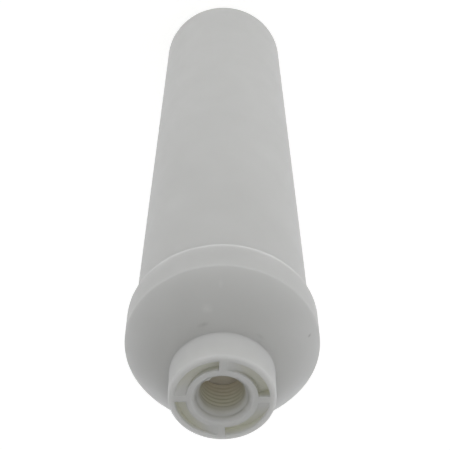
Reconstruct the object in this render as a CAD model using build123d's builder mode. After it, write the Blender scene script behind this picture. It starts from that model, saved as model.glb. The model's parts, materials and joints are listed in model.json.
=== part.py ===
import os

from build123d import *

# Inline sediment filter cartridge, standing on its inlet boss.
# Millimetres, +Z up along the axis, origin in the middle of the inlet boss face.

# Housing tube
tube_od = 50.8
tube_wall = 2.4
tube_length = 205.0

# Domed ends: rise and thickness along the axis, bulge of the dome's arc over its chord
dome_rise = 12.2
dome_floor = 3.6
dome_bulge = 1.3
shoulder_edge = 1.2

# Welded collar of the end cap, over the tube's stepped end
weld_step = 0.3
collar_wall = 2.2
collar_overlap = 7.4
collar_land = 3.0
collar_draft = 0.15
collar_edge = 0.4
weld_gap = 0.15

# Port bosses, cored from inside
boss_od = 28.4
boss_height = 10.1
boss_draft = 0.1
boss_wall = 1.7
boss_face = 5.0
boss_edge = 0.8
boss_root = 0.6

# Ramped recesses of a boss face, in which the spin welding tool drives
drive_ramps = 4
drive_wall = 0.8
ramp_land = 1.3
ramp_step = 0.1
ramp_slope = 0.24

# Ports, bored to the root of a quarter inch pipe thread
bore_d = 13.6
bore_depth = 12.7
bore_wall = 2.75
bore_floor = 2.5
mouth_d = 16.2
mouth_depth = 1.25
mouth_round = 0.06
passage_d = 5.0

# Ribs inside both ends that hold the element between them
inner_ribs = 4
inner_rib = 2.0
element_lift = 2.0
lug_height = 4.0
lug_gap = 0.15

# Outlet spigot and its O-ring
spigot_d = 12.0
spigot_length = 12.0
spigot_lead = 0.8
groove_depth = 1.9
groove_side_gap = 0.3
groove_drop = 6.0
ring_section = 2.4
ring_gap = 0.03

# Melt-blown element and its bonded end caps
flow_gap = 3.0
core_d = 17.0
cap_disc = 3.0
cap_rim = 5.0
cap_rim_wall = 1.4
cap_edge = 0.5
spud_length = 8.0
spud_wall = 2.0
socket_length = 14.0
socket_gap = 0.15
bond_gap = 0.1

# Radii that follow from the sizes above
tube_r = tube_od / 2
tube_ir = tube_r - tube_wall
tube_end_r = tube_r - weld_step
collar_ir = tube_end_r + weld_gap
collar_r = collar_ir + collar_wall
collar_front_r = collar_r - collar_draft
boss_r = boss_od / 2
boss_root_r = boss_r + boss_draft
boss_ir = boss_r - boss_wall
ramp_fall = ramp_step + (boss_r - ramp_land) * ramp_slope
bore_r = bore_d / 2
hub_r = bore_r + bore_wall
spigot_r = spigot_d / 2
groove_r = spigot_r - groove_depth
socket_r = spigot_r + socket_gap
element_r = tube_ir - flow_gap
core_r = core_d / 2
cap_bore_r = element_r + bond_gap
cap_r = cap_bore_r + cap_rim_wall
lug_r = cap_r + lug_gap
spud_r = core_r - bond_gap


def dome_height(rim_r, r):
    """Height of a dome's chord over its rim, at radius r."""
    return dome_rise * (rim_r - r) / (rim_r - boss_root_r)


# Heights along the axis, from the inlet face up
shoulder_z = boss_height + dome_rise
collar_z = shoulder_z + tube_length
weld_z = collar_z + collar_overlap
rim_z = weld_z + collar_land
crown_z = rim_z + dome_rise
outlet_z = crown_z + boss_height
floor_z = boss_height + dome_floor
floor_edge_z = shoulder_z - dome_height(tube_r, tube_ir) + dome_floor
ceiling_z = crown_z - dome_floor
ceiling_edge_z = rim_z + dome_height(collar_front_r, tube_ir) - dome_floor
rest_z = floor_edge_z + element_lift
seat_z = ceiling_edge_z - element_lift
spigot_tip_z = seat_z - spigot_length
groove_z = seat_z - groove_drop
hub_length = bore_depth + bore_floor
passage_length = outlet_z - spigot_tip_z

# The O-ring keeps its sectional area when the socket squeezes it
ring_half_height = (socket_r - groove_r) / 2 - ring_gap
ring_half_width = (ring_section / 2) ** 2 / ring_half_height
groove_width = 2 * ring_half_width + groove_side_gap


def ring_edge(turned, radius, height):
    """The circular edge of a turned form at the given radius and height."""
    circles = turned.edges().filter_by(GeomType.CIRCLE)
    return circles.sort_by(lambda edge: abs(edge.radius - radius) + abs(edge.arc_center.Z - height))[:1]


# Void of one drive ramp, face at Z 0: a steep wall at one end and a floor that rises to the face
with BuildPart() as drive_ramp:
    with BuildSketch(Plane.XZ.offset(-drive_wall)):
        with BuildLine():
            Polyline((ramp_land, 0), (boss_r, 0), (boss_r, -ramp_fall), (ramp_land, -ramp_step), close=True)
        make_face()
    extrude(amount=-boss_r)
    with BuildSketch():
        Circle(boss_ir)
        Circle(hub_r, mode=Mode.SUBTRACT)
    extrude(amount=-boss_height, mode=Mode.INTERSECT)

# Void of one port, mouth at Z 0 and cut downwards: the same void forms both ends
with BuildPart() as port_void:
    with BuildSketch(Plane.XZ):
        with BuildLine():
            SagittaArc((mouth_d / 2, 0), (bore_r, -mouth_depth), -mouth_round)
            Polyline(
                (bore_r, -mouth_depth),
                (bore_r, -bore_depth),
                (passage_d / 2, -bore_depth),
                (passage_d / 2, -passage_length),
                (0, -passage_length),
                (0, 0),
                (mouth_d / 2, 0),
            )
        make_face()
    revolve(axis=Axis.Z)
    with PolarLocations(0, drive_ramps):
        add(drive_ramp.part)

# Hollow of the housing: the water space and the boss's coring, less the hub, the carrying ribs and lugs
with BuildPart() as housing_hollow:
    with BuildSketch(Plane.XZ):
        with BuildLine():
            SagittaArc((boss_root_r, floor_z), (tube_ir, floor_edge_z), -dome_bulge)
            Polyline(
                (tube_ir, floor_edge_z),
                (tube_ir, weld_z),
                (0, weld_z),
                (0, boss_face),
                (boss_ir, boss_face),
                (boss_ir, floor_z),
                (boss_root_r, floor_z),
            )
        make_face()
    revolve(axis=Axis.Z)
    with BuildSketch():
        Circle(hub_r)
    extrude(amount=hub_length, mode=Mode.SUBTRACT)
    with BuildSketch():
        with PolarLocations((bore_r + tube_r) / 2, inner_ribs):
            Rectangle(tube_r - bore_r, inner_rib)
    extrude(amount=rest_z, mode=Mode.SUBTRACT)
    with BuildSketch():
        with PolarLocations((lug_r + tube_r) / 2, inner_ribs):
            Rectangle(tube_r - lug_r, inner_rib)
    extrude(amount=rest_z + lug_height, mode=Mode.SUBTRACT)

# Housing: tube, domed end, inlet boss and inner ribs, moulded in one
with BuildPart() as housing:
    with BuildSketch(Plane.XZ):
        with BuildLine():
            Polyline((0, weld_z), (0, 0), (boss_r, 0), (boss_root_r, boss_height))
            SagittaArc((boss_root_r, boss_height), (tube_r, shoulder_z), -dome_bulge)
            Polyline(
                (tube_r, shoulder_z),
                (tube_r, collar_z),
                (tube_end_r, collar_z),
                (tube_end_r, weld_z),
                (0, weld_z),
            )
        make_face()
    revolve(axis=Axis.Z)
    fillet(ring_edge(housing, tube_r, shoulder_z), radius=shoulder_edge)
    fillet(ring_edge(housing, boss_root_r, boss_height), radius=boss_root)
    fillet(ring_edge(housing, boss_r, 0), radius=boss_edge)
    add(housing_hollow.part, mode=Mode.SUBTRACT)
    with Locations(Location((0, 0, 0), (180, 0, 0))):
        add(port_void.part, mode=Mode.SUBTRACT)

# Hollow of the end cap: the collar's socket, the dome's inside and the boss's coring, less hub and ribs
with BuildPart() as cap_hollow:
    with BuildSketch(Plane.XZ):
        with BuildLine():
            Polyline(
                (boss_root_r, ceiling_z),
                (boss_ir, ceiling_z),
                (boss_ir, outlet_z - boss_face),
                (0, outlet_z - boss_face),
                (0, collar_z),
                (collar_ir, collar_z),
                (collar_ir, weld_z),
                (tube_ir, weld_z),
                (tube_ir, ceiling_edge_z),
            )
            SagittaArc((boss_root_r, ceiling_z), (tube_ir, ceiling_edge_z), dome_bulge)
        make_face()
    revolve(axis=Axis.Z)
    with BuildSketch(Plane.XY.offset(outlet_z)):
        Circle(hub_r)
    extrude(amount=-hub_length, mode=Mode.SUBTRACT)
    with BuildSketch(Plane.XY.offset(seat_z)):
        with PolarLocations(element_r / 2, inner_ribs):
            Rectangle(element_r, inner_rib)
    extrude(amount=outlet_z - seat_z, mode=Mode.SUBTRACT)

# End cap: collar, dome, outlet boss, pressing ribs and outlet spigot, moulded in one
with BuildPart() as end_cap:
    with BuildSketch(Plane.XZ):
        with BuildLine():
            Polyline((0, collar_z), (0, outlet_z), (boss_r, outlet_z), (boss_root_r, crown_z))
            SagittaArc((boss_root_r, crown_z), (collar_front_r, rim_z), dome_bulge)
            Polyline((collar_front_r, rim_z), (collar_r, collar_z), (0, collar_z))
        make_face()
    revolve(axis=Axis.Z)
    fillet(ring_edge(end_cap, collar_front_r, rim_z), radius=shoulder_edge)
    fillet(ring_edge(end_cap, collar_r, collar_z), radius=collar_edge)
    fillet(ring_edge(end_cap, boss_root_r, crown_z), radius=boss_root)
    fillet(ring_edge(end_cap, boss_r, outlet_z), radius=boss_edge)
    add(cap_hollow.part, mode=Mode.SUBTRACT)
    with BuildSketch(Plane.XY.offset(crown_z)):
        Circle(spigot_r)
    extrude(amount=spigot_tip_z - crown_z)
    chamfer(ring_edge(end_cap, spigot_r, spigot_tip_z), length=spigot_lead)
    with BuildSketch(Plane.XY.offset(groove_z)):
        Circle(spigot_r)
        Circle(groove_r, mode=Mode.SUBTRACT)
    extrude(amount=groove_width / 2, both=True, mode=Mode.SUBTRACT)
    with Locations((0, 0, outlet_z)):
        add(port_void.part, mode=Mode.SUBTRACT)

# O-ring in the spigot's groove, squeezed by the element's socket
with BuildPart() as spigot_o_ring:
    with BuildSketch(Plane.XZ):
        with Locations(((groove_r + socket_r) / 2, groove_z)):
            Ellipse(ring_half_height, ring_half_width)
    revolve(axis=Axis.Z)

# Blind end cap: closes the foot of the element and stands on the housing's ribs
with BuildPart() as blind_end_cap:
    with BuildSketch(Plane.XY.offset(rest_z)):
        Circle(cap_r)
    extrude(amount=cap_disc + cap_rim)
    fillet(ring_edge(blind_end_cap, cap_r, rest_z), radius=cap_edge)
    with BuildSketch(Plane.XY.offset(rest_z + cap_disc)):
        Circle(cap_bore_r)
    extrude(amount=cap_rim, mode=Mode.SUBTRACT)
    with BuildSketch(Plane.XY.offset(rest_z + cap_disc)):
        Circle(spud_r)
        Circle(spud_r - spud_wall, mode=Mode.SUBTRACT)
    extrude(amount=spud_length)

# Melt-blown sediment element: a thick fibre sleeve bonded between the two caps
with BuildPart() as sediment_element:
    with BuildSketch(Plane.XY.offset(rest_z + cap_disc)):
        Circle(element_r)
        Circle(core_r, mode=Mode.SUBTRACT)
    extrude(amount=seat_z - rest_z - 2 * cap_disc)

# Open end cap: closes the head of the element round the socket that takes the spigot
with BuildPart() as open_end_cap:
    with BuildSketch(Plane.XY.offset(seat_z)):
        Circle(cap_r)
    extrude(amount=-cap_disc - cap_rim)
    fillet(ring_edge(open_end_cap, cap_r, seat_z), radius=cap_edge)
    with BuildSketch(Plane.XY.offset(seat_z - cap_disc)):
        Circle(cap_bore_r)
    extrude(amount=-cap_rim, mode=Mode.SUBTRACT)
    with BuildSketch(Plane.XY.offset(seat_z)):
        Circle(spud_r)
    extrude(amount=-socket_length)
    with BuildSketch(Plane.XY.offset(seat_z)):
        Circle(socket_r)
    extrude(amount=-socket_length, mode=Mode.SUBTRACT)
    chamfer(ring_edge(open_end_cap, socket_r, seat_z), length=spigot_lead)

pieces = {
    "housing": housing,
    "end_cap": end_cap,
    "sediment_element": sediment_element,
    "blind_end_cap": blind_end_cap,
    "open_end_cap": open_end_cap,
    "spigot_o_ring": spigot_o_ring,
}

os.makedirs("parts", exist_ok=True)
for name, piece in pieces.items():
    piece.part.label = name
    export_step(piece.part, f"parts/{name}.step")
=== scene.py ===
# %% [markdown]
# An inline sediment filter cartridge, dressed in Blender. It is a white polypropylene tube with a cap
# welded over its open end and a threaded port in a boss at each end. The photograph shows one end: the
# other end, and the fibre sleeve sealed inside, are built as such cartridges have them. The solids come
# from the CAD model in metres and stay where they are. Blender adds the finish of each plastic, the
# threads in the ports, and the light.

# %% Load the frame
import json
import math

import bpy
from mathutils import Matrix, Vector


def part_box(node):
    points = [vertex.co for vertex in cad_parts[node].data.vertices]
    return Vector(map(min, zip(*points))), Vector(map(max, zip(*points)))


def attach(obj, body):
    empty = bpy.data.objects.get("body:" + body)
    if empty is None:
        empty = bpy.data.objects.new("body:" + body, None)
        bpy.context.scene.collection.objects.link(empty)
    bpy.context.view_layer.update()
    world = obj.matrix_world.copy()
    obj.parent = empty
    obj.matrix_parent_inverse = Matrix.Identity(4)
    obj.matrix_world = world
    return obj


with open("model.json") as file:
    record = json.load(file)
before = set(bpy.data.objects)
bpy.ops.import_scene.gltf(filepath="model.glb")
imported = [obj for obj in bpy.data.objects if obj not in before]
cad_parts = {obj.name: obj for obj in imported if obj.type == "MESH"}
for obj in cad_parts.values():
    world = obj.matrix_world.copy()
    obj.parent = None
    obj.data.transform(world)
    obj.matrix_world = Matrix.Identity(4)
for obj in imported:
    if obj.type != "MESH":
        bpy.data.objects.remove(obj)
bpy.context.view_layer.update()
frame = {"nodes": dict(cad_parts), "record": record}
nodes = frame["nodes"]
mounts = {mount["name"]: mount for mount in frame["record"]["mounts"]}
MM = 0.001

# %% [markdown]
# A few sizes are read from the solids, so that they follow when the CAD changes. The outlet face is the
# top of the end cap, the inlet face is the foot of the housing, and the ports' wall radius is the one
# that their mounts state.

# %% Measure the frame
outlet_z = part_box("end_cap")[1].z
inlet_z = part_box("housing")[0].z
port_r = mounts["outlet_port"]["dims"]["r_mm"] * MM
print("outlet face", outlet_z, "inlet face", inlet_z, "port radius", port_r)

# %% [markdown]
# The photograph looks down on the outlet end, with the cartridge pointing at the viewer. The camera's
# place was found by fitting the outlines of tube, collar and boss. It stands in front of the cartridge,
# tilted 31 degrees off its axis and rolled half a turn, so that the outlet is at the bottom of the
# picture.

# %% Camera
camera_place = Vector((-0.744, -173.139, 462.509)) * MM
camera_tilt = math.radians(30.714)
lens_mm = 80.72
sensor_mm = 36.0

camera_data = bpy.data.cameras.new("photo_camera")
camera_data.lens = lens_mm
camera_data.sensor_width = sensor_mm
camera_data.clip_start = 0.01
camera_data.clip_end = 50.0
camera = bpy.data.objects.new("photo_camera", camera_data)
camera.location = camera_place
camera.rotation_euler = (-camera_tilt, 0.0, math.pi)
bpy.context.scene.collection.objects.link(camera)
bpy.context.scene.camera = camera
bpy.context.scene.view_settings.view_transform = "Standard"
print("camera", tuple(camera.location), "lens", lens_mm)

# %% [markdown]
# Materials are built as node trees, so three small helpers keep them short: one adds a node with its
# settings, one starts an empty material, and one tells the rays that show a surface from those that light
# other surfaces.

# %% Node helpers
def add_node(tree, kind, label, **settings):
    """A new node of that kind, with the given properties set."""
    node = tree.nodes.new(kind)
    node.label = label
    for name, value in settings.items():
        setattr(node, name, value)
    return node


def clear_material(name):
    """A material with an empty node tree, and its output node."""
    material = bpy.data.materials.new(name)
    material.use_nodes = True
    material.node_tree.nodes.clear()
    output = add_node(material.node_tree, "ShaderNodeOutputMaterial", "output")
    return material, material.node_tree, output


def seen_directly(tree):
    """1 where a camera, mirror or glass ray meets the surface, 0 for light between surfaces."""
    path = add_node(tree, "ShaderNodeLightPath", "light path")
    mirrored = add_node(tree, "ShaderNodeMath", "camera or glossy", operation="MAXIMUM")
    tree.links.new(path.outputs["Is Camera Ray"], mirrored.inputs[0])
    tree.links.new(path.outputs["Is Glossy Ray"], mirrored.inputs[1])
    through = add_node(tree, "ShaderNodeMath", "or transmission", operation="MAXIMUM")
    tree.links.new(mirrored.outputs[0], through.inputs[0])
    tree.links.new(path.outputs["Is Transmission Ray"], through.inputs[1])
    return through.outputs[0]


# %% [markdown]
# The photograph has a plain white ground. A white diffuse floor alone would render grey in this soft
# light, so to the camera the floor is a darker paint with a glow, which together reach white where
# nothing shades them. The shadow stays, because the paint still takes light. To the cartridge the floor
# is plain pale paint that sends light back.

# %% Floor
floor_size = 8.0
floor_colour = (0.83, 0.825, 0.785, 1.0)
shown_colour = (0.528, 0.525, 0.499, 1.0)
floor_glow = 0.70


def make_floor():
    """A large plane under the cartridge, white to the camera."""
    mesh = bpy.data.meshes.new("floor")
    half = floor_size / 2
    corners = [(-half, -half, inlet_z), (half, -half, inlet_z), (half, half, inlet_z), (-half, half, inlet_z)]
    mesh.from_pydata(corners, [], [(0, 1, 2, 3)])
    floor = bpy.data.objects.new("floor", mesh)
    bpy.context.scene.collection.objects.link(floor)
    material, tree, output = clear_material("pale_floor")
    paint = add_node(tree, "ShaderNodeBsdfDiffuse", "paint")
    paint.inputs["Color"].default_value = floor_colour
    shown = add_node(tree, "ShaderNodeBsdfDiffuse", "shown paint")
    shown.inputs["Color"].default_value = shown_colour
    glow = add_node(tree, "ShaderNodeEmission", "glow")
    glow.inputs["Strength"].default_value = floor_glow
    both = add_node(tree, "ShaderNodeAddShader", "shown paint and glow")
    tree.links.new(shown.outputs[0], both.inputs[0])
    tree.links.new(glow.outputs[0], both.inputs[1])
    choose = add_node(tree, "ShaderNodeMixShader", "by ray")
    tree.links.new(seen_directly(tree), choose.inputs["Fac"])
    tree.links.new(paint.outputs[0], choose.inputs[1])
    tree.links.new(both.outputs[0], choose.inputs[2])
    tree.links.new(choose.outputs[0], output.inputs["Surface"])
    mesh.materials.append(material)


make_floor()
print("floor at", inlet_z, "glow", floor_glow)

# %% [markdown]
# Beyond the floor's edge the ground has to stay white too, so the world is white to the camera. To the
# cartridge it is a dim even lamp, slightly cool, which fills the shade that the panels leave.

# %% World
world_light = 0.29
light_colour = (0.978, 0.985, 1.037)


def light_world():
    """A world that is white to the camera and an even dim light to the object."""
    world = bpy.data.worlds.new("studio_world")
    bpy.context.scene.world = world
    world.use_nodes = True
    tree = world.node_tree
    tree.nodes.clear()
    output = add_node(tree, "ShaderNodeOutputWorld", "output")
    dim = add_node(tree, "ShaderNodeBackground", "light on the object")
    dim.inputs["Color"].default_value = (*light_colour, 1.0)
    dim.inputs["Strength"].default_value = world_light
    white = add_node(tree, "ShaderNodeBackground", "white ground")
    white.inputs["Color"].default_value = (1.0, 1.0, 1.0, 1.0)
    choose = add_node(tree, "ShaderNodeMixShader", "by ray")
    tree.links.new(seen_directly(tree), choose.inputs["Fac"])
    tree.links.new(dim.outputs[0], choose.inputs[1])
    tree.links.new(white.outputs[0], choose.inputs[2])
    tree.links.new(choose.outputs[0], output.inputs["Surface"])


light_world()
print("world light", world_light)

# %% [markdown]
# The photograph's light is soft and comes from all sides, so large area lamps stand round the cartridge.
# Low panels light the tube from the front (-Y), from both sides and from behind, the front one most. A
# second panel on the brighter side (-X) stands nearly as high as the outlet. One panel hangs above the
# outlet, and its light reaches into the port. A smaller one stands above and behind the camera. Most
# light comes in low, so the tube is brighter than the domed end that faces up. The watts are set from the
# light wanted on a surface that faces the lamp. The levels were tuned until the render's tones came near
# the photograph's.

# %% Lamps
lamp_distance = 0.50
lamp_width = 0.80
lamp_height = 0.16
low_z = 0.085
upper_z = 0.25
high_distance = 0.90
high_colour = (1.0, 1.0, 1.0)


def soft_lamp(name, place, aim, width, height, distance, level, colour):
    """A soft panel that looks along aim; level is the light that a white surface facing it returns."""
    data = bpy.data.lights.new(name, "AREA")
    data.shape = "RECTANGLE"
    data.size = width
    data.size_y = height
    data.energy = level * math.pi**2 * distance**2
    data.color = colour
    lamp = bpy.data.objects.new(name, data)
    lamp.location = place
    lamp.rotation_mode = "QUATERNION"
    lamp.rotation_quaternion = aim.to_track_quat("-Z", "Y")
    bpy.context.scene.collection.objects.link(lamp)
    print("lamp", name, "watts", round(data.energy, 2))


def side_lamp(name, bearing, height, level):
    """A long panel beside the cartridge, at that height above the floor."""
    out = Vector((math.cos(math.radians(bearing)), math.sin(math.radians(bearing)), 0.0))
    place = out * lamp_distance + Vector((0.0, 0.0, height))
    soft_lamp(name, place, -out, lamp_width, lamp_height, place.length, level, light_colour)


def high_lamp(name, tilt, width, length, level):
    """A panel above the outlet, tilted that many degrees from the axis to the front."""
    way = Vector((0.0, -math.sin(math.radians(tilt)), math.cos(math.radians(tilt))))
    place = way * high_distance + Vector((0.0, 0.0, outlet_z))
    soft_lamp(name, place, -way, width, length, high_distance, level, high_colour)


side_lamp("front_panel", bearing=270.0, height=low_z, level=0.375)
side_lamp("bright_side_panel", bearing=180.0, height=low_z, level=0.150)
side_lamp("bright_side_fill", bearing=180.0, height=upper_z, level=0.165)
side_lamp("side_panel", bearing=0.0, height=low_z, level=0.255)
side_lamp("back_panel", bearing=90.0, height=low_z, level=0.25)
high_lamp("overhead_panel", tilt=0.0, width=0.60, length=1.30, level=0.20)
high_lamp("viewer_panel", tilt=30.0, width=0.30, length=0.30, level=0.135)

# %% [markdown]
# No moulded surface has one flat colour. Three helpers give every finish its small changes: noise over
# the object's own coordinates, a range to spread that noise over, and a blend of two colours. An image
# could do it too, but noise needs no unwrapping and has no seams.

# %% Colour helpers
usual_noise = (0.3, 0.7)


def noise(tree, label, coordinates, scale, detail):
    """A noise texture over object coordinates; scale counts features in a metre."""
    texture = add_node(tree, "ShaderNodeTexNoise", label)
    texture.inputs["Scale"].default_value = scale
    texture.inputs["Detail"].default_value = detail
    tree.links.new(coordinates, texture.inputs["Vector"])
    return texture.outputs["Fac"]


def spread(tree, label, value, low, high):
    """The value mapped from the range where most noise lies to low..high."""
    mapped = add_node(tree, "ShaderNodeMapRange", label)
    mapped.inputs["From Min"].default_value = usual_noise[0]
    mapped.inputs["From Max"].default_value = usual_noise[1]
    mapped.inputs["To Min"].default_value = low
    mapped.inputs["To Max"].default_value = high
    tree.links.new(value, mapped.inputs["Value"])
    return mapped.outputs["Result"]


def blend_colour(tree, label, factor, colour_a, colour_b):
    """A colour between a and b; either may be a socket or a fixed colour."""
    mix = add_node(tree, "ShaderNodeMix", label, data_type="RGBA")
    tree.links.new(factor, mix.inputs["Factor"])
    for socket, colour in ((mix.inputs["A"], colour_a), (mix.inputs["B"], colour_b)):
        if isinstance(colour, tuple):
            socket.default_value = (*colour, 1.0)
        else:
            tree.links.new(colour, socket)
    return mix.outputs["Result"]


print("most noise lies in", usual_noise)

# %% [markdown]
# Housing, cap and threads are one white polypropylene. It is a satin, slightly translucent plastic: light
# goes a few millimetres in and comes out again, which softens its shadows. A Principled shader with
# subsurface scattering does that directly, here with the same depth for every colour. Slow noise varies
# colour and roughness, as the flow of the melt leaves them, and a fine bump gives the mould's grain. A
# Bevel node rounds the shading of sharp edges, as a mould does, without changing the solids.

# %% White polypropylene
plastic_pale = (0.585, 0.585, 0.558)
plastic_deep = (0.565, 0.565, 0.538)
plastic_satin = (0.48, 0.58)
plastic_scatter = 5.5 * MM
plastic_edge = 0.45 * MM
even_scatter = (1.0, 1.0, 1.0)


def moulded_plastic(name, pale, deep, roughness, scatter, marks=(), edge_round=0.0):
    """A satin moulded plastic: two near colours, roughness range, scattering depth, marks, soft edges."""
    material, tree, output = clear_material(name)
    shader = add_node(tree, "ShaderNodeBsdfPrincipled", "plastic")
    place = add_node(tree, "ShaderNodeTexCoord", "place").outputs["Object"]
    flow = noise(tree, "melt flow", place, scale=60.0, detail=2.0)
    colour = blend_colour(tree, "flow colour", spread(tree, "flow range", flow, 0.0, 1.0), deep, pale)
    for mark in marks:
        colour = mark(tree, place, colour)
    tree.links.new(colour, shader.inputs["Base Color"])
    gloss = noise(tree, "mould gloss", place, scale=240.0, detail=3.0)
    tree.links.new(spread(tree, "gloss range", gloss, *roughness), shader.inputs["Roughness"])
    grain = add_node(tree, "ShaderNodeBump", "mould grain")
    grain.inputs["Strength"].default_value = 0.12
    grain.inputs["Distance"].default_value = 0.05 * MM
    tree.links.new(noise(tree, "grain", place, scale=2600.0, detail=2.0), grain.inputs["Height"])
    if edge_round > 0.0:
        rounding = add_node(tree, "ShaderNodeBevel", "rounded edges", samples=6)
        rounding.inputs["Radius"].default_value = edge_round
        tree.links.new(rounding.outputs["Normal"], grain.inputs["Normal"])
    tree.links.new(grain.outputs["Normal"], shader.inputs["Normal"])
    shader.inputs["IOR"].default_value = 1.49
    shader.inputs["Specular IOR Level"].default_value = 0.35
    shader.inputs["Subsurface Weight"].default_value = 1.0
    shader.inputs["Subsurface Radius"].default_value = even_scatter
    shader.inputs["Subsurface Scale"].default_value = scatter
    tree.links.new(shader.outputs[0], output.inputs["Surface"])
    return material


def dress(piece, material):
    """The piece wears this material alone."""
    piece.data.materials.clear()
    piece.data.materials.append(material)


print("edges rounded by", plastic_edge, "light goes in by", plastic_scatter)

# %% [markdown]
# In the hollows of the two bosses, light meets the plastic again and again, and each time comes back a
# little more yellow. The shader's colour is darker than that of real white plastic and loses most of
# that, so that bounced light is painted into the colour there, as painted light: warm, and paler deeper
# down. Deep in the port the colour is painted darker, as painted shade. Each goes by depth below the nearer
# end face, within the boss's rim.

# %% Painted bounce light and shade in the hollows
rim_r = 13.0 * MM
rim_blur = 0.2 * MM


def end_depth(tree, place):
    """How far a point lies from the nearer of the two end faces, along the axis."""
    apart = add_node(tree, "ShaderNodeSeparateXYZ", "apart")
    tree.links.new(place, apart.inputs[0])
    top = add_node(tree, "ShaderNodeMath", "below the outlet", operation="SUBTRACT")
    top.inputs[0].default_value = outlet_z
    tree.links.new(apart.outputs["Z"], top.inputs[1])
    foot = add_node(tree, "ShaderNodeMath", "above the inlet", operation="SUBTRACT")
    tree.links.new(apart.outputs["Z"], foot.inputs[0])
    foot.inputs[1].default_value = inlet_z
    nearer = add_node(tree, "ShaderNodeMath", "nearer end", operation="MINIMUM")
    tree.links.new(top.outputs[0], nearer.inputs[0])
    tree.links.new(foot.outputs[0], nearer.inputs[1])
    return nearer.outputs[0]


def axis_distance(tree, place):
    """How far a point lies from the cartridge's axis."""
    flat = add_node(tree, "ShaderNodeVectorMath", "flat", operation="MULTIPLY")
    flat.inputs[1].default_value = (1.0, 1.0, 0.0)
    tree.links.new(place, flat.inputs[0])
    reach = add_node(tree, "ShaderNodeVectorMath", "reach", operation="LENGTH")
    tree.links.new(flat.outputs[0], reach.inputs[0])
    return reach.outputs["Value"]


def painted_shading(label, start, full, colour):
    """A function that paints shading into a plastic's colour, blending it into another between two depths, in
    mm, below an end face.
    """

    def paint(tree, place, below):
        below_face = end_depth(tree, place)
        depth = add_node(tree, "ShaderNodeMapRange", "depth", interpolation_type="SMOOTHSTEP")
        depth.inputs["From Min"].default_value = start * MM
        depth.inputs["From Max"].default_value = full * MM
        tree.links.new(below_face, depth.inputs["Value"])
        reach = axis_distance(tree, place)
        inside = add_node(tree, "ShaderNodeMapRange", "inside the rim")
        inside.inputs["From Min"].default_value = rim_r + rim_blur
        inside.inputs["From Max"].default_value = rim_r - rim_blur
        tree.links.new(reach, inside.inputs["Value"])
        mask = add_node(tree, "ShaderNodeMath", "hollow", operation="MULTIPLY")
        tree.links.new(depth.outputs["Result"], mask.inputs[0])
        tree.links.new(inside.outputs["Result"], mask.inputs[1])
        return blend_colour(tree, label, mask.outputs[0], below, colour)

    return paint


# Painted bounce light: a warm colour, then a warm paler one. Painted shade: a darker colour at the floor of
# the port.
painted_bounce_colour = (0.592, 0.590, 0.515)
painted_pale_bounce_colour = (0.640, 0.638, 0.550)
painted_port_floor_shade = (0.440, 0.405, 0.335)
hollows = (
    painted_shading("painted warm bounce light", 0.2, 1.6, painted_bounce_colour),
    painted_shading("painted pale bounce light", 1.3, 2.8, painted_pale_bounce_colour),
    painted_shading("painted shade on the port floor", 6.0, 12.5, painted_port_floor_shade),
)
white_plastic = moulded_plastic(
    "white_polypropylene", plastic_pale, plastic_deep, plastic_satin, plastic_scatter, hollows, plastic_edge
)
dress(nodes["housing"], white_plastic)
print("white plastic on the housing, with", len(hollows), "tints in its hollows")

# %% [markdown]
# In the photograph the dome gets slightly greyer towards the foot of the boss. It looks like shade, and
# the lamps here give too little of it. More lamps could be tried, but a faint tint by distance from the
# axis is simpler and stays soft.

# %% Grey towards the boss
foot_near = 14.35 * MM
foot_far = 27.0 * MM
foot_colour = (0.46, 0.46, 0.435)
foot_strength = 0.35


def foot_shade(tree, place, below):
    """Greys the dome's colour, most at the boss's foot and fading outwards."""
    reach = axis_distance(tree, place)
    outside = add_node(tree, "ShaderNodeMath", "outside the boss", operation="GREATER_THAN")
    outside.inputs[1].default_value = foot_near
    tree.links.new(reach, outside.inputs[0])
    fade = add_node(tree, "ShaderNodeMapRange", "fade outwards", interpolation_type="SMOOTHSTEP")
    fade.inputs["From Min"].default_value = foot_far
    fade.inputs["From Max"].default_value = foot_near
    fade.inputs["To Max"].default_value = foot_strength
    tree.links.new(reach, fade.inputs["Value"])
    mask = add_node(tree, "ShaderNodeMath", "foot", operation="MULTIPLY")
    tree.links.new(outside.outputs[0], mask.inputs[0])
    tree.links.new(fade.outputs["Result"], mask.inputs[1])
    return blend_colour(tree, "boss foot", mask.outputs[0], below, foot_colour)


print("grey from radius", foot_near, "to", foot_far)

# %% [markdown]
# The welded cap is the same plastic, with the few small marks of handling that the photograph shows on
# its dome: a dark rub beside the boss, a fainter one across from it, a speck near the rim and two
# slightly paler patches. Each is a soft ellipse in the cap's own colour nodes, with noise to make its
# edge ragged. A ray cast straight down finds the dome's surface, so that a mark is placed by X and Y
# alone.

# %% Marks on the dome
cast_height = 0.1
mark_height = 2.5 * MM
mark_ragged = 0.8
mark_rim = 1.4
mark_core = 0.5


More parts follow.
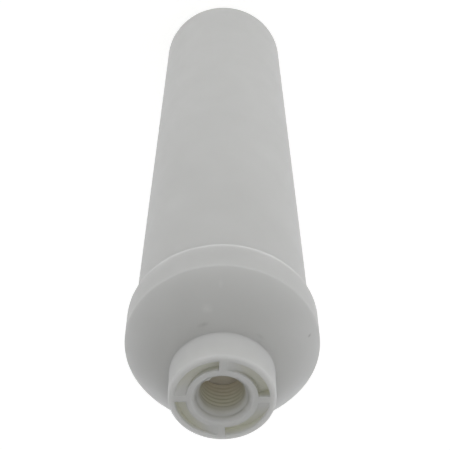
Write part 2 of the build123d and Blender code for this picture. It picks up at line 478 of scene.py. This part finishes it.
def dome_mark(label, x, y, turn, half_length, half_width, colour, strength):
    """A function that paints one mark into a plastic's colour; sizes in mm, turn in degrees about Z."""
    start = Vector((x * MM, y * MM, outlet_z + cast_height))
    found, surface, _, _ = nodes["end_cap"].ray_cast(start, Vector((0.0, 0.0, -1.0)))
    assert found, label

    def paint(tree, place, below):
        ellipse = add_node(tree, "ShaderNodeMapping", label, vector_type="TEXTURE")
        ellipse.inputs["Location"].default_value = surface
        ellipse.inputs["Rotation"].default_value = (0.0, 0.0, math.radians(turn))
        ellipse.inputs["Scale"].default_value = (half_length * MM, half_width * MM, mark_height)
        tree.links.new(place, ellipse.inputs["Vector"])
        reach = add_node(tree, "ShaderNodeVectorMath", "reach", operation="LENGTH")
        tree.links.new(ellipse.outputs[0], reach.inputs[0])
        ragged = add_node(tree, "ShaderNodeMath", "ragged edge", operation="MULTIPLY_ADD")
        tree.links.new(noise(tree, "rub", place, scale=1400.0, detail=3.0), ragged.inputs[0])
        ragged.inputs[1].default_value = mark_ragged
        tree.links.new(reach.outputs["Value"], ragged.inputs[2])
        mask = add_node(tree, "ShaderNodeMapRange", "mark mask")
        mask.inputs["From Min"].default_value = mark_rim
        mask.inputs["From Max"].default_value = mark_core
        mask.inputs["To Max"].default_value = strength
        tree.links.new(ragged.outputs[0], mask.inputs["Value"])
        return blend_colour(tree, label, mask.outputs["Result"], below, colour)

    return paint


rub_colour = (0.20, 0.20, 0.18)
pale_colour = (0.66, 0.66, 0.63)
dome_marks = (
    dome_mark("dark rub", 4.9, -15.7, 20.0, 1.9, 0.6, rub_colour, 0.26),
    dome_mark("faint rub", -10.2, -12.1, -40.0, 1.8, 0.6, rub_colour, 0.14),
    dome_mark("speck", -23.8, -6.8, 30.0, 0.6, 0.5, rub_colour, 0.45),
    dome_mark("pale patch", 4.0, -19.3, 0.0, 1.8, 1.3, pale_colour, 0.45),
    dome_mark("gate trace", 0.4, -24.3, 90.0, 1.3, 0.7, pale_colour, 0.30),
)
# The cap's colour gets the painted light and shade of the hollows, the painted shade at the boss's foot, and
# then the marks.
cap_marks_and_painted_shading = (*hollows, foot_shade, *dome_marks)
cap_plastic = moulded_plastic(
    "white_polypropylene_cap", plastic_pale, plastic_deep, plastic_satin,
    plastic_scatter, cap_marks_and_painted_shading, plastic_edge,
)
dress(nodes["end_cap"], cap_plastic)
print("cap plastic with", len(dome_marks), "marks")

# %% [markdown]
# The caps bonded to the sleeve are plastic without dye. They are sealed in and only a look through the
# ports meets them. The moulded plastic above serves again, a little glossier and with no marks.

# %% Undyed caps
undyed_pale = (0.56, 0.56, 0.53)
undyed_deep = (0.53, 0.53, 0.50)
undyed_satin = (0.36, 0.46)
undyed_scatter = 4.0 * MM

undyed_plastic = moulded_plastic(
    "natural_polypropylene", undyed_pale, undyed_deep, undyed_satin, undyed_scatter
)
dress(nodes["blind_end_cap"], undyed_plastic)
dress(nodes["open_end_cap"], undyed_plastic)
print("undyed plastic on both caps of the sleeve")

# %% [markdown]
# The sleeve is blown fibre, matt and felted. Strands could be modelled one by one, but nobody sees them
# inside a closed tube, so fine noise in colour and bump stands for them, with a little sheen as loose
# fibre has.

# %% Fibre sleeve
fibre_pale = (0.78, 0.78, 0.75)
fibre_deep = (0.66, 0.66, 0.63)


def felted_fibre(name, pale, deep):
    """Matt blown fibre: fine strands in bump and colour."""
    material, tree, output = clear_material(name)
    shader = add_node(tree, "ShaderNodeBsdfPrincipled", "fibre")
    place = add_node(tree, "ShaderNodeTexCoord", "place").outputs["Object"]
    strands = noise(tree, "strands", place, scale=1500.0, detail=6.0)
    colour = blend_colour(tree, "strand colour", spread(tree, "strand range", strands, 0.0, 1.0), deep, pale)
    tree.links.new(colour, shader.inputs["Base Color"])
    felt = add_node(tree, "ShaderNodeBump", "felt")
    felt.inputs["Strength"].default_value = 0.8
    felt.inputs["Distance"].default_value = 0.4 * MM
    tree.links.new(strands, felt.inputs["Height"])
    tree.links.new(felt.outputs["Normal"], shader.inputs["Normal"])
    shader.inputs["Roughness"].default_value = 0.95
    shader.inputs["Sheen Weight"].default_value = 0.3
    tree.links.new(shader.outputs[0], output.inputs["Surface"])
    return material


dress(nodes["sediment_element"], felted_fibre("melt_blown_fibre", fibre_pale, fibre_deep))
print("fibre on the sleeve")

# %% [markdown]
# The spigot's seal is black rubber. Moulded rubber is never quite black: a dull bloom lightens it in
# patches, so one noise drives both its colour and its gloss.

# %% Rubber seal
rubber_dark = (0.022, 0.022, 0.022)
rubber_worn = (0.040, 0.040, 0.040)
rubber_satin = (0.45, 0.65)


def moulded_rubber(name, dark, worn, roughness):
    """Black rubber with the dull bloom of a moulded seal."""
    material, tree, output = clear_material(name)
    shader = add_node(tree, "ShaderNodeBsdfPrincipled", "rubber")
    place = add_node(tree, "ShaderNodeTexCoord", "place").outputs["Object"]
    bloom = noise(tree, "bloom", place, scale=900.0, detail=3.0)
    colour = blend_colour(tree, "bloom colour", spread(tree, "bloom range", bloom, 0.0, 1.0), dark, worn)
    tree.links.new(colour, shader.inputs["Base Color"])
    tree.links.new(spread(tree, "bloom gloss", bloom, *roughness), shader.inputs["Roughness"])
    shader.inputs["IOR"].default_value = 1.52
    tree.links.new(shader.outputs[0], output.inputs["Surface"])
    return material


dress(nodes["spigot_o_ring"], moulded_rubber("black_rubber", rubber_dark, rubber_worn, rubber_satin))
print("rubber on the seal")

# %% [markdown]
# Both ports are given a right-hand quarter inch pipe thread, 18 turns to the inch. The solids carry its
# root as a plain bore, so the thread is a sleeve of plastic that lies on that wall, sunk into it by a
# hair. Depths count from the end face. The photograph shows only faint rings, so the groove is shallow:
# its depth is a guess.

# %% Thread sizes
inch = 25.4 * MM
turns_per_inch = 18
pitch = inch / turns_per_inch
mouth_depth = outlet_z - mounts["outlet_port"]["pos_m"][2]
floor_depth = mouth_depth + mounts["outlet_port"]["dims"]["length_mm"] * MM
mouth_r = 8.1 * MM
sleeve_depth = 0.08 * MM
throat_r = 6.0 * MM
throat_depth = 3.6 * MM
cone = 1 / 32
groove = 0.075 * MM
embed = 0.05 * MM
lift = 0.01 * MM
fade_in = (2.0 * MM, 4.5 * MM)
fade_out = 0.8 * MM
print("pitch", round(pitch / MM, 3), "mm, thread from", mouth_depth, "to", floor_depth)

# %% [markdown]
# The sleeve's inner face is one height field over angle and depth. The mouth's flare goes on as far as
# the throat, then the wall closes in with the slow taper of a pipe thread, and a helical wave is laid
# over it. The crests are low and round, as moulding leaves them. The thread's blunt start shows as a
# small lump at the edge of the mouth. A swept ridge would be the other way to make a thread, but its
# sharp foot draws a dark seam that the photograph doesn't have.

# %% Inner face of a thread
start_angle = math.radians(303.0)
start_depth = 1.5 * MM
lump_height = 0.45 * MM
lump_spread = (math.radians(6.0), 0.5 * MM)


def ramp(value, low, high):
    """0 up to low, 1 from high on, with a smooth step between."""
    part = min(1.0, max(0.0, (value - low) / (high - low)))
    return part * part * (3.0 - 2.0 * part)


def wall_radius(depth):
    """Radius of the port's wall in the solids: the mouth's cone, then the straight bore."""
    return port_r + (mouth_r - port_r) * max(0.0, 1.0 - depth / mouth_depth)


def crest_radius(depth):
    """Radius at the crests: on the cone, then the flare to the throat, then the pipe thread's taper."""
    if depth < mouth_depth:
        return wall_radius(depth) - lift
    flare = max(0.0, (throat_depth - depth) / (throat_depth - mouth_depth))
    return throat_r + (port_r - throat_r) * flare**2 - max(0.0, depth - throat_depth) * cone


def inner_radius(depth, angle):
    """Radius of the sleeve's inner face: crest, helical groove and the lump at the thread's start."""
    turned = angle - start_angle + (depth - start_depth) / pitch * math.tau
    fade = ramp(depth, *fade_in) * ramp(floor_depth - depth, 0.0, fade_out)
    off = math.remainder(angle - start_angle, math.tau) / lump_spread[0]
    along = (depth - start_depth) / lump_spread[1]
    lump = lump_height * math.exp(-off * off - along * along)
    return crest_radius(depth) + groove * fade * (0.5 - 0.5 * math.cos(turned)) - lump


print("crest radius at the throat", round(crest_radius(throat_depth) / MM, 2), "mm")

# %% [markdown]
# The thread's plastic is the housing's. Light that scatters over more than a pitch would blur the
# thread's rows away, so the scattering is short here, and the colour is painted a little paler, as
# painted light, tuned to come near the photograph. With depth it gets painted warm bounce light and then
# painted shade, like the other hollows.

# %% Plastic of the threads, with painted light
# Painted light: these colours are paler than the housing's plastic.
port_pale_painted_light = (0.635, 0.635, 0.606)
port_deep_painted_light = (0.615, 0.615, 0.586)
port_scatter = 0.3 * MM
# Painted bounce light near the mouth, then painted shade with a warm cast deeper down.
painted_port_bounce_colour = (0.650, 0.635, 0.515)
painted_deep_port_shade_colour = (0.610, 0.565, 0.460)

port_painted_shading = (
    painted_shading("painted port bounce light", 0.3, 6.0, painted_port_bounce_colour),
    painted_shading("painted port shade", 6.0, 12.5, painted_deep_port_shade_colour),
)
port_plastic_painted_light = moulded_plastic(
    "white_polypropylene_port_painted_light", port_pale_painted_light, port_deep_painted_light, plastic_satin, port_scatter, port_painted_shading
)
print("thread plastic with", len(port_painted_shading), "tints")

# %% [markdown]
# Rings of points follow the inner face down to the thread's end, and three more rings come back along the
# port's wall, so that the sleeve is a closed mesh. The inlet's thread is the outlet's turned over about
# X, which keeps it right-handed.

# %% Port threads
rings_per_turn = 14
points_round = 144
sharp_from = math.radians(60.0)


def make_thread(name, place):
    """The thread of one port as a closed sleeve; place moves a point from the mouth at z 0 to the port."""
    count = round((floor_depth - sleeve_depth) / pitch * rings_per_turn)
    depths = [sleeve_depth + (floor_depth - sleeve_depth) * i / count for i in range(count + 1)]
    angles = [math.tau * i / points_round for i in range(points_round)]
    rings = [[(inner_radius(depth, a), a, depth) for a in angles] for depth in depths]
    for depth in (floor_depth, mouth_depth, sleeve_depth):
        rings.append([(wall_radius(depth) + embed, a, depth) for a in angles])
    points = [place((r * math.cos(a), r * math.sin(a), -depth)) for ring in rings for r, a, depth in ring]
    faces = []
    for k in range(len(rings)):
        here = k * points_round
        below = (k + 1) % len(rings) * points_round
        for i in range(points_round):
            j = (i + 1) % points_round
            faces.append((here + i, here + j, below + j, below + i))
    mesh = bpy.data.meshes.new(name)
    mesh.from_pydata(points, [], faces)
    mesh.shade_smooth()
    mesh.set_sharp_from_angle(angle=sharp_from)
    thread = bpy.data.objects.new(name, mesh)
    bpy.context.scene.collection.objects.link(thread)
    dress(thread, port_plastic_painted_light)
    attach(thread, "root")
    print(name, len(points), "points", round((floor_depth - mouth_depth) / pitch, 2), "turns")


make_thread("outlet_thread", lambda p: (p[0], p[1], outlet_z + p[2]))
make_thread("inlet_thread", lambda p: (p[0], -p[1], inlet_z - p[2]))
